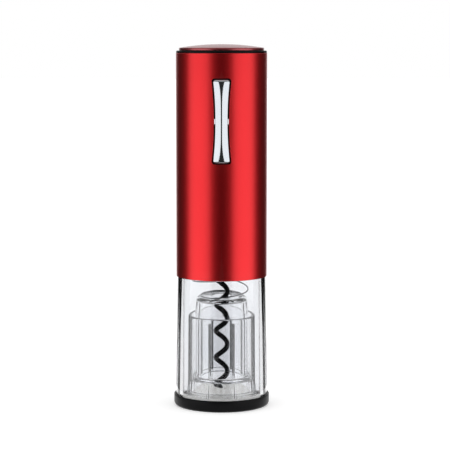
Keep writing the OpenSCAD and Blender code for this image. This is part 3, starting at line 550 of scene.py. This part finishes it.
def base_band():
    """The black band round the clear foot, with its two snap lugs."""
    inner = FOOT_R + 0.05 * MM
    lip_in = 18.9 * MM
    outline = rounded([
        (lip_in, 0, 0.2 * MM), (BASE_R, 0, 2.0 * MM), (BASE_R, FLOOR_TOP, 0.5 * MM),
        (inner, FLOOR_TOP, 0.2 * MM), (inner, BASE_LIP, 0), (lip_in, BASE_LIP, 0.2 * MM)])
    lug_out = CHAMBER_IR - 0.2 * MM
    lug_deep, lug_half, lug_rise = 2 * MM, 2 * MM, 1.2 * MM
    lugs = [slab(lug_out - lug_deep, lug_out, -lug_half, lug_half, BASE_LIP / 2, FLOOR_TOP + lug_rise,
                 angle, bevel=0.3 * MM)
            for angle in (0, math.pi)]
    points, faces = joined(turned(outline), *lugs)
    make_piece("base_band", points, faces, "chamber", "black_plastic", BLACK_PLASTIC, ["base_ring"])


def chamber_shell():
    """The clear outer wall, and the grained floor with the bottle collar."""
    wall_line = rounded([
        (CHAMBER_IR, BASE_LIP, 0.3 * MM), (FOOT_R, BASE_LIP, 0.3 * MM),
        (FOOT_R, FLOOR_TOP, 0), (LIP_R, SLEEVE_LOW, 0.25 * MM), (SPIGOT_R, SLEEVE_LOW, 0.1 * MM),
        (SPIGOT_R, SPIGOT_TOP, 0.6 * MM), (CHAMBER_IR, SPIGOT_TOP, 0.4 * MM)])
    make_piece("chamber_wall", *turned(wall_line), "chamber", "clear_plastic", CLEAR, ["clear_chamber"])
    collar_low = 0.4 * MM
    collar_top = FLOOR_TOP + 2 * MM
    floor_low = FLOOR_TOP - 2 * MM
    floor_r = CHAMBER_IR - 0.02 * MM
    floor_line = rounded([
        (NECK_R, collar_low, 0.5 * MM), (COLLAR_R, collar_low, 0.3 * MM), (COLLAR_R, floor_low, 0.4 * MM),
        (floor_r, floor_low, 0), (floor_r, FLOOR_TOP, 0), (COLLAR_R, FLOOR_TOP, 0.4 * MM),
        (COLLAR_R, collar_top, 0.3 * MM), (NECK_R, collar_top, 0.5 * MM)])
    make_piece("chamber_floor", *turned(floor_line), "chamber", "clear_plastic", FROSTED, ["clear_chamber"])


def guide_tube():
    """The clear inner guide that takes the bottle's neck, with its gussets."""
    guide_ir = NECK_R + 1.4 * MM
    guide_or = guide_ir + 1.85 * MM
    ledge_ir = NECK_R + 0.2 * MM
    foot_or = guide_or + 0.6 * MM
    foot_low = FLOOR_TOP + 0.02 * MM
    foot_top = FLOOR_TOP + 1.2 * MM
    step = FLOOR_TOP + 2.05 * MM
    collar = COLLAR_R + 0.05 * MM
    outline = rounded([
        (collar, foot_low, 0), (foot_or, foot_low, 0.2 * MM),
        (foot_or, foot_top, 0.3 * MM), (guide_or, foot_top, 0.4 * MM),
        (guide_or, GUIDE_TOP, 0.6 * MM), (guide_ir, GUIDE_TOP, 0.4 * MM),
        (guide_ir, CORK_LOW, 0.15 * MM), (ledge_ir, CORK_LOW, 0.15 * MM),
        (ledge_ir, step, 0.2 * MM), (collar, step, 0.1 * MM)])
    reach = min(high("neck_guide")[1], CHAMBER_IR - 0.3 * MM)
    count, first = 8, 22.5
    fins = [gusset(guide_or - 0.2 * MM, reach, foot_low, math.radians(first + 360 * i / count))
            for i in range(count)]
    points, faces = joined(turned(outline), *fins)
    make_piece("guide_tube", points, faces, "chamber", "clear_plastic", CLEAR_INNER, ["neck_guide"])


def gusset(r0, r1, z0, angle):
    """A thin triangular rib standing on the chamber's floor."""
    height, thick, toe, top = 8 * MM, 1.2 * MM, 1.2 * MM, 0.6 * MM
    side = [(r0, z0), (r1, z0), (r1, z0 + toe), (r0 + top, z0 + height), (r0, z0 + height)]
    points = [(*turn(r, y, angle), z) for y in (thick / 2, -thick / 2) for r, z in side]
    return points, ring_faces(2, len(side))


def cork_sleeve():
    """The clear floating sleeve: flange, ribbed cork tube and rounded collar with the worm's hole."""
    flange_r = high("cork_sleeve")[1]
    outer = flange_r - 1.8 * MM
    inner = outer - 2.65 * MM
    collar_r = outer - 0.85 * MM
    hole = 5.3 * MM
    flange_top = CORK_LOW + 1.95 * MM
    collar_low = CORK_TOP - 7.55 * MM
    roof = CORK_TOP - 2.25 * MM
    outline = rounded([
        (inner, CORK_LOW, 0.4 * MM), (flange_r, CORK_LOW, 0.3 * MM), (flange_r, flange_top, 0.3 * MM),
        (outer, flange_top, 0.4 * MM), (outer, collar_low, 0.4 * MM), (collar_r, CORK_TOP, 1.8 * MM),
        (hole, CORK_TOP, 0.5 * MM), (hole, roof, 0.3 * MM), (inner, roof, 1 * MM)], steps=8)
    rib_in, rib_out, rib_half = inner - 1 * MM, inner + 0.3 * MM, 0.5 * MM
    rib_top = collar_low - 6 * MM
    ribs = [slab(rib_in, rib_out, -rib_half, rib_half, flange_top, rib_top, math.radians(60 * i), 0.2 * MM)
            for i in range(6)]
    points, faces = joined(turned(outline), *ribs)
    make_piece("floating_sleeve", points, faces, "cork_carrier", "clear_plastic", CLEAR_INNER,
               ["cork_sleeve"])


def spring_coil():
    """The fine conical spring between the bulkhead and the floating sleeve."""
    wire = 0.35 * MM
    r_low = high("cork_sleeve")[1] - 4.95 * MM
    r_top = (high("return_spring")[0] - low("return_spring")[0]) / 2 - wire
    rise = SPRING_TOP - SPRING_LOW - 2 * wire
    turns, flat, per_turn, start, widening = 2.4, 0.75, 48, math.radians(236), 0.42
    path = []
    for i in range(round((turns + 2 * flat) * per_turn) + 1):
        done = i / per_turn - flat
        t = min(1.0, max(0.0, done / turns))
        r = r_low + (r_top - r_low) * t ** widening
        path.append(on_circle(r, start + 2 * math.pi * done, SPRING_LOW + wire + rise * t))
    points, faces = swept(path, [wire] * len(path), 10)
    make_piece("spring_coil", points, faces, "drive_unit", "spring_steel", SPRING_STEEL, ["return_spring"])


def worm_coil():
    """The coated worm: a curled point, a right-hand helix and a straight shank."""
    wire, pitch = 1.375 * MM, 14.7 * MM
    helix = WORM_R - wire
    chuck = low("worm_chuck")[2]
    tip_sweep, tip_rise, tip_curl = 105, 2.2 * MM, 0.25
    taper, blunt = 135, 0.06  # the point's taper in degrees, and its end's share of the wire's radius
    run_in = 90  # degrees over which the helix closes in on the axis
    base = WORM_TIP + 0.1 * MM + tip_rise
    total = 360 * (chuck + 1.05 * MM - base) / pitch
    turn_end = total - run_in
    step = 5  # degrees between two points of the path
    count = round((tip_sweep + total) / step)
    path, radii = [], []
    for i in range(count + 1):
        a = -tip_sweep + (tip_sweep + total) * i / count
        z = base + (tip_rise * a / tip_sweep if a < 0 else pitch * a / 360)
        fade = 1.0 if a < turn_end else (1 + math.cos(math.pi * (a - turn_end) / run_in)) / 2
        curl = 1 + tip_curl * a / tip_sweep if a < 0 else 1.0
        path.append(on_circle(helix * fade * curl, math.radians(180 + a), z))
        t = min(1.0, (a + tip_sweep) / taper)
        radii.append(wire * (blunt + (1 - blunt) * math.sqrt(t * (2 - t))))
    core_r, shank_r, shank_low = 0.2 * MM, 2 * MM, chuck - 0.6 * MM
    shank = rounded([(core_r, shank_low, 0), (shank_r, shank_low, 0.3 * MM),
                     (shank_r, WORM_TOP, 0.1 * MM), (core_r, WORM_TOP, 0)])
    points, faces = joined(swept(path, radii, 20), turned(shank, 48))
    make_piece("worm_coil", points, faces, "worm_drive", "worm_coating", WORM_COAT, ["corkscrew_worm"])


# ---------- sleeve and rocker ----------

def rocker_half_width(z, grow=0.0):
    """Half the rocker's width at a height from its middle: a waist that flares to its ends."""
    end_w, waist_w, corner = 4.65 * MM + grow, 3.55 * MM + grow, ROCKER_CORNER
    straight = ROCKER_HALF + grow - corner
    z = abs(z)
    if z <= straight:
        return waist_w + (end_w - waist_w) * (z / straight) ** 2
    over = min(z - straight, corner)
    return end_w - corner + math.sqrt(max(corner * corner - over * over, 0))


def row_heights(half):
    """Heights from the middle for an outline with round corners, close together at the corners."""
    straight = half - ROCKER_CORNER
    steps, corner_steps = 14, 8
    rows = [straight * i / steps for i in range(-steps, steps + 1)]
    ends = [straight + ROCKER_CORNER * math.sin(math.pi / 2 * i / corner_steps)
            for i in range(1, corner_steps + 1)]
    return [-e for e in reversed(ends)] + rows + ends


def window_ring(radius, z, grow, around, across):
    """Points round the sleeve at a height: across the window first, then round the back."""
    half = ROCKER_HALF + WINDOW_GAP
    local = max(-half, min(half, z - ROCKER_MID))
    edge = math.asin((rocker_half_width(local, WINDOW_GAP) + grow) / radius)
    turns = [-edge + 2 * edge * k / across for k in range(across)]
    turns += [edge + (2 * math.pi - 2 * edge) * k / around for k in range(around)]
    return [(radius * math.sin(t), -radius * math.cos(t)) for t in turns]


def red_sleeve():
    """The sleeve: a thin tube whose ends and rocker window have chamfered outer edges."""
    window = [ROCKER_MID + z for z in row_heights(ROCKER_HALF + WINDOW_GAP)]
    below = sleeve_ends(SLEEVE_LOW, window[0])
    heights = below + window + sleeve_ends(SLEEVE_TOP, window[-1])[::-1]
    first, last, top = len(below), len(below) + len(window) - 1, len(heights) - 1
    around, across = 160, 10
    n = around + across
    chamfer = 0.2 * MM
    shifts = {0: chamfer, first: -chamfer, last: chamfer, top: -chamfer}
    layers = [(SLEEVE_R, chamfer, shifts), (SLEEVE_R - chamfer, 0.0, {}), (SLEEVE_R - SLEEVE_WALL, 0.0, {})]
    points = []
    for radius, grow, shift in layers:
        for i, z in enumerate(heights):
            ring = window_ring(radius, z, grow, around, across)
            points += [(x, y, z + shift.get(i, 0.0)) for x, y in ring]

    def at(layer, i, k):
        return (layer * len(heights) + i) * n + k % n

    faces = []
    for i in range(top):
        for k in range(across if first <= i < last else 0, n):
            faces.append((at(0, i, k), at(0, i, k + 1), at(0, i + 1, k + 1), at(0, i + 1, k)))
            faces.append((at(2, i, k), at(2, i + 1, k), at(2, i + 1, k + 1), at(2, i, k + 1)))
    rim = [((0, k + 1), (0, k)) for k in range(n)]
    rim += [((top, k), (top, k + 1)) for k in range(n)]
    rim += [((first, k), (first, k + 1)) for k in range(across)]
    rim += [((last, k + 1), (last, k)) for k in range(across)]
    rim += [((i + 1, 0), (i, 0)) for i in range(first, last)]
    rim += [((i, across), (i + 1, across)) for i in range(first, last)]
    for a, b in ((0, 1), (1, 2)):
        faces += [(at(a, *p), at(a, *q), at(b, *q), at(b, *p)) for p, q in rim]
    points, faces = without_loose(points, faces)
    make_piece("red_sleeve", points, faces, "drive_unit", "red_metal", RED_ANODISED, ["outer_sleeve"], 30)


def sleeve_ends(end, start, count=5):
    """Heights from the sleeve's end towards its window."""
    return [end + (start - end) * i / count for i in range(count)]


def rocker_section(z, back, across=20):
    """The bar's outline at a height from its middle, from the back's left end over the face to its right."""
    end_round, edge_round = 1.3 * MM, 0.35 * MM
    slope = 0.577  # each side of the face falls away at 30 degrees
    ridge = (0.6 + 3.6 * (abs(z) / ROCKER_HALF) ** 5) * MM  # softness of the line between the two sides
    w = rocker_half_width(z)
    past = max(0.0, abs(z) - (ROCKER_HALF - end_round)) / end_round
    drop = end_round * (1 - math.sqrt(max(0.0, 1 - past * past)))
    face = []
    for k in range(across + 1):
        x = w * (2 * k / across - 1)
        crown = slope * (math.sqrt(x * x + ridge * ridge) - ridge)
        rim = edge_round if k in (0, across) else 0.0
        face.append((x, crown + drop + rim - ROCKER_FRONT, ROCKER_MID + z))
    return [(-w, -back, ROCKER_MID + z)] + face + [(w, -back, ROCKER_MID + z)]


def rocker():
    """The chrome rocker: a waisted bar with a crowned face and round ends, its pivot and its two posts."""
    back = POST_TIP + 0.65 * MM
    sections = [rocker_section(z, back) for z in row_heights(ROCKER_HALF)]
    bar = [p for section in sections for p in section], ring_faces(len(sections), len(sections[0]))
    points, faces = joined(bar, pivot_boss(), ears(), *switch_posts())
    make_piece("rocker_bar", points, faces, "rocker", "chrome", CHROME, ["rocker_button"], 40)


def pivot_boss():
    """The boss across the rocker's back, with the bore for its pin."""
    pin_r, boss_r, half = 0.75 * MM, 1.6 * MM, 4.1 * MM
    points, faces = turned(rounded([
        (pin_r, -half, 0), (boss_r, -half, 0.3 * MM), (boss_r, half, 0.3 * MM), (pin_r, half, 0)]), 48)
    return [(z, PIVOT_Y + x, ROCKER_MID + y) for x, y, z in points], faces


def switch_posts():
    """The two posts that press the switches."""
    radius, length, out = 1.2 * MM, 1.65 * MM, 15 * MM
    outline = [(0, 0), (radius, 0), (radius, 1.2 * MM), (0.9 * MM, 1.5 * MM), (0, length)]
    points, faces = domed(outline, 32)
    posts = []
    for mid in (ROCKER_MID - out, ROCKER_MID + out):
        post = [(x, z - POST_TIP - length, mid + y) for x, y, z in points]
        posts.append((post, turned_over(faces)))
    return posts


def ears():
    """The ears at the rocker's waist, with sloping fronts."""
    half_w, half_h, front = 4 * MM, 1.4 * MM, SLEEVE_R - 0.5 * MM
    slope_w, slope_d = 0.7 * MM, 0.35 * MM
    loop = [(-half_w, PIVOT_Y), (-half_w, slope_d - front), (slope_w - half_w, -front),
            (half_w - slope_w, -front), (half_w, slope_d - front), (half_w, PIVOT_Y)]
    return prism(loop, ROCKER_MID - half_h, ROCKER_MID + half_h)


# ---------- cap end ----------

def top_band():
    """The black ring under the cap, with the quick thread inside it."""
    outer = SLEEVE_R - 0.1 * MM
    spigot = SLEEVE_R - SLEEVE_WALL - 0.05 * MM
    inner = spigot - 2.5 * MM
    outline = rounded([
        (inner, RING_LOW, 0.2 * MM), (spigot, RING_LOW, 0.3 * MM), (spigot, SLEEVE_TOP, 0),
        (outer, SLEEVE_TOP, 0.1 * MM), (outer, RING_TOP, 0.6 * MM), (inner, RING_TOP, 0.3 * MM)])
    crest_r, root_r, thread_low = inner - 0.65 * MM, inner + 0.1 * MM, SLEEVE_TOP - 5.5 * MM
    ridges = [thread_ridge(crest_r, root_r, thread_low, math.pi / 2 * i) for i in range(4)]
    points, faces = joined(turned(outline), *ridges)
    make_piece("top_band", points, faces, "drive_unit", "black_plastic", BLACK_PLASTIC, ["top_ring"])


def thread_ridge(crest_r, root_r, z, start):
    """One ridge of the quick thread, rising 8 mm in a whole turn."""
    steps, span, lead = 24, math.radians(70), 8 * MM
    crest, root = 0.27 * MM, 0.37 * MM  # half the ridge's height at its crest and at its root
    points = []
    for i in range(steps + 1):
        sweep = span * i / steps
        mid = z + lead * sweep / (2 * math.pi)
        for r, dz in ((crest_r, -crest), (crest_r, crest), (root_r, root), (root_r, -root)):
            points.append(on_circle(r, start + sweep, mid + dz))
    return points, ring_faces(steps + 1, 4)


def cap_dome():
    """The domed red cap plate, pressed over the black plug."""
    rise, edge, foot = 1.9 * MM, 0.5 * MM, 0.2 * MM
    rim = CAP_TOP - rise
    plug_r = high("contact_carrier")[0] + 1.95 * MM
    recess = CAP_LOW + 0.95 * MM
    outline = [(0, recess), (plug_r, recess), (plug_r, CAP_LOW), (CAP_R - foot, CAP_LOW),
               (CAP_R, CAP_LOW + foot)]
    edge_sweep, edge_steps = 75, 6
    for k in range(edge_steps + 1):
        a = math.radians(edge_sweep * k / edge_steps)
        outline.append((CAP_R - edge + edge * math.cos(a), rim - edge + edge * math.sin(a)))
    dome_r, steps = CAP_R - edge - 0.1 * MM, 24
    for k in range(steps, -1, -1):
        outline.append((dome_r * k / steps, rim + rise * (1 - (k / steps) ** 2)))
    make_piece("cap_dome", *domed(outline), "cap", "red_cap", RED_GLOSS, ["cap_plate"])


# ---------- studio ----------

def stage_piece(name, points, faces, material, **rays):
    """A floor, card or lamp panel that isn't part of the object."""
    mesh = bpy.data.meshes.new(name)
    mesh.from_pydata(points, [], faces)
    mesh.materials.append(material)
    piece = bpy.data.objects.new(name, mesh)
    bpy.context.scene.collection.objects.link(piece)
    for ray in ("camera", "diffuse", "glossy", "transmission", "shadow"):
        setattr(piece, "visible_" + ray, rays.get(ray, True))
    return piece


def flat_material(name, colour, glow=0.0):
    """A matt material of one colour for the stage, with a white glow."""
    material, _, _, shader = new_material(name)
    shader.inputs["Base Color"].default_value = colour
    shader.inputs["Roughness"].default_value = 0.9
    shader.inputs["Specular IOR Level"].default_value = 0.0
    shader.inputs["Emission Color"].default_value = rgb(1, 1, 1)
    shader.inputs["Emission Strength"].default_value = glow
    return material


def strip_faces(steps):
    """Faces of a strip whose points come in pairs across it."""
    return [(2 * i, 2 * i + 1, 2 * i + 3, 2 * i + 2) for i in range(steps)]


def flat_ring(r_in, r_out, start=0.0, end=360.0, steps=96):
    """A flat ring at floor level, or a part of one, between two angles in degrees from +X."""
    points = []
    for i in range(steps + 1):
        a = math.radians(start + (end - start) * i / steps)
        points += [on_circle(r_in, a, 0), on_circle(r_out, a, 0)]
    return points, strip_faces(steps)


def wall(radius, start, end, z0, z1, steps=12):
    """An upright curved card from one bearing to another, in degrees from +Y towards +X."""
    points = []
    for i in range(steps + 1):
        a = math.radians(90 - start - (end - start) * i / steps)
        points += [on_circle(radius, a, z1), on_circle(radius, a, z0)]
    return points, strip_faces(steps)


def build_floor():
    """A pale floor in parts: a brighter painted pool of light in the bottle's mouth, and a front that clear
    plastic can't see.
    """
    pale = flat_material("pale_floor", rgb(0.8, 0.8, 0.8), 0.35)
    # The mouth's floor glows brighter: a painted pool of light standing in for the light that reaches it
    # through the plastic.
    mouth_light_paint = flat_material("mouth_painted_light", rgb(0.8, 0.8, 0.8), 0.6)
    near, horizon = 0.065, 9.0
    stage_piece("floor_mouth", *flat_ring(0.0001, NECK_R), mouth_light_paint)
    stage_piece("floor_near", *flat_ring(NECK_R, near), pale)
    stage_piece("floor_back", *flat_ring(near, horizon, -20, 200), pale, glossy=False)
    stage_piece("floor_front", *flat_ring(near, horizon, 200, 340), pale, glossy=False, transmission=False)


def build_cards():
    """Dark flags beside the clear end, which only the plastic sees, and a pale card that only gloss sees."""
    dark = flat_material("dark_flag", rgb(0.0, 0.0, 0.0))
    near, far, back, top = BASE_R + 1.2 * MM, BASE_R + 7.5 * MM, 10 * MM, SLEEVE_LOW + 4 * MM
    for name, side in (("left", -1), ("right", 1)):
        flag = [(side * x, back, z) for x, z in ((near, 0.0), (far, 0.0), (far, top), (near, top))]
        stage_piece(f"dark_flag_{name}", flag, [(0, 1, 2, 3)], dark,
                    camera=False, diffuse=False, glossy=False, shadow=False)
    pale = flat_material("pale_card", rgb(0, 0, 0), 0.85)
    stage_piece("pale_card", *wall(1.5, -26, 26, -0.2, 0.9), pale,
                camera=False, diffuse=False, transmission=False, shadow=False)


def build_softbox(name, bearing):
    """A softbox at a bearing in degrees from the camera's side, aimed at the object's middle."""
    distance, width, height, centre_z, radiance = 1.0, 1.2, 0.8, -0.02, 1.5
    lamp = bpy.data.lights.new(name, "AREA")
    lamp.shape = "RECTANGLE"
    lamp.size, lamp.size_y = width, height
    lamp.energy = radiance * math.pi * width * height
    holder = bpy.data.objects.new(name, lamp)
    a = math.radians(bearing)
    holder.location = (distance * math.sin(a), -distance * math.cos(a), centre_z)
    middle = Vector((0, 0, 0.11))
    aim = middle - Vector(holder.location)
    holder.rotation_euler = aim.to_track_quat("-Z", "Y").to_euler()
    holder.visible_camera = False
    bpy.context.scene.collection.objects.link(holder)


def build_world():
    """White all round for the camera, dim in front for clear plastic, bright only overhead for gloss."""
    world = bpy.data.worlds.new("studio")
    bpy.context.scene.world = world
    world.use_nodes = True
    nodes, link = world.node_tree.nodes, world.node_tree.links.new
    rays = nodes.new("ShaderNodeLightPath")
    where = nodes.new("ShaderNodeTexCoord")
    axes = nodes.new("ShaderNodeSeparateXYZ")
    around = map_range(nodes, (-0.35, 0.3), (0.02, 1.0))  # dim towards -Y, full towards +Y
    overhead = map_range(nodes, (0.25, 0.7), (0.035, 0.6))  # dim below, brighter towards +Z
    plain = math_node(nodes, "MAXIMUM")
    outside = math_node(nodes, "LESS_THAN", 0.5)
    gloss = math_node(nodes, "MULTIPLY")
    spread = nodes.new("ShaderNodeMix")
    spread.inputs["B"].default_value = 1.0
    level = nodes.new("ShaderNodeMix")
    link(where.outputs["Generated"], axes.inputs["Vector"])
    link(axes.outputs["Y"], around.inputs["Value"])
    link(axes.outputs["Z"], overhead.inputs["Value"])
    link(rays.outputs["Is Diffuse Ray"], plain.inputs[0])
    link(rays.outputs["Is Camera Ray"], plain.inputs[1])
    link(plain.outputs["Value"], spread.inputs["Factor"])
    link(around.outputs["Result"], spread.inputs["A"])
    link(rays.outputs["Transmission Depth"], outside.inputs[0])
    link(rays.outputs["Is Glossy Ray"], gloss.inputs[0])
    link(outside.outputs["Value"], gloss.inputs[1])
    link(gloss.outputs["Value"], level.inputs["Factor"])
    link(spread.outputs["Result"], level.inputs["A"])
    link(overhead.outputs["Result"], level.inputs["B"])
    link(level.outputs["Result"], nodes["Background"].inputs["Strength"])
    nodes["Background"].inputs["Color"].default_value = rgb(1, 1, 1)


def build_camera():
    """The camera in front of the object, a little to its right and looking slightly down."""
    camera = bpy.data.cameras.new("camera")
    camera.lens = 140.8
    camera.sensor_width = 36
    holder = bpy.data.objects.new("camera", camera)
    holder.location = (0.0019, -0.969, 0.2006)
    holder.rotation_euler = (math.radians(90 - 5.91), 0, 0)
    bpy.context.scene.collection.objects.link(holder)
    bpy.context.scene.camera = holder


def build_studio():
    """Camera, floor, cards, world and two softboxes."""
    build_camera()
    build_floor()
    build_cards()
    build_world()
    build_softbox("softbox_left", -59)
    build_softbox("softbox_right", 59)
    bpy.context.scene.view_settings.view_transform = "Standard"


# ---------- build ----------

build_studio()
paint_cad_nodes()
base_band()
chamber_shell()
guide_tube()
cork_sleeve()
spring_coil()
worm_coil()
red_sleeve()
rocker()
top_band()
cap_dome()
